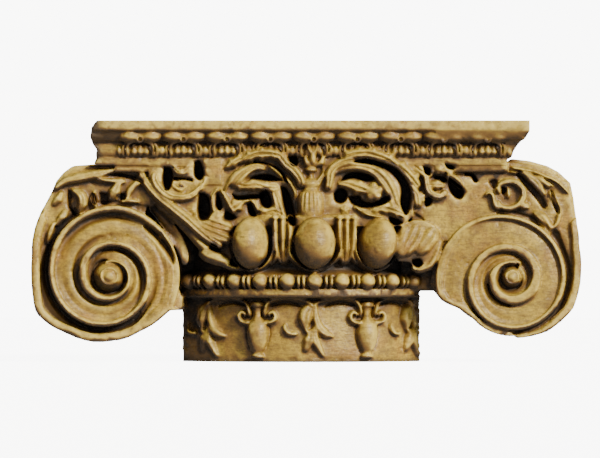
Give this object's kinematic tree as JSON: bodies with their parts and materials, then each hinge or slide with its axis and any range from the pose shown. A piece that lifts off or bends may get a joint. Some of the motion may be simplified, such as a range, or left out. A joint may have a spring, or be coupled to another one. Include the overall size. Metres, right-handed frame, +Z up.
{
  "type": "ionic capital",
  "caption": "Flat-backed plaster cast of an Ionic capital front: moulded abacus, acanthus scroll frieze, eggs and darts, bead and reel, vases on the neck, and hanging volutes.",
  "frame": {"origin": "middle of the overall box, on the plane of the underside of the neck", "axes": "+X along the abacus to the right as seen from the front, +Y from the carved front to the flat back, +Z up"},
  "size_m": [0.5496, 0.1293, 0.241],
  "materials": {
    "plaster": "toned and varnished plaster, ochre on the high places and dark brown in the hollows, satin"
  },
  "bodies": {
    "root": {"capital": "plaster"}
  },
  "joints": []
}
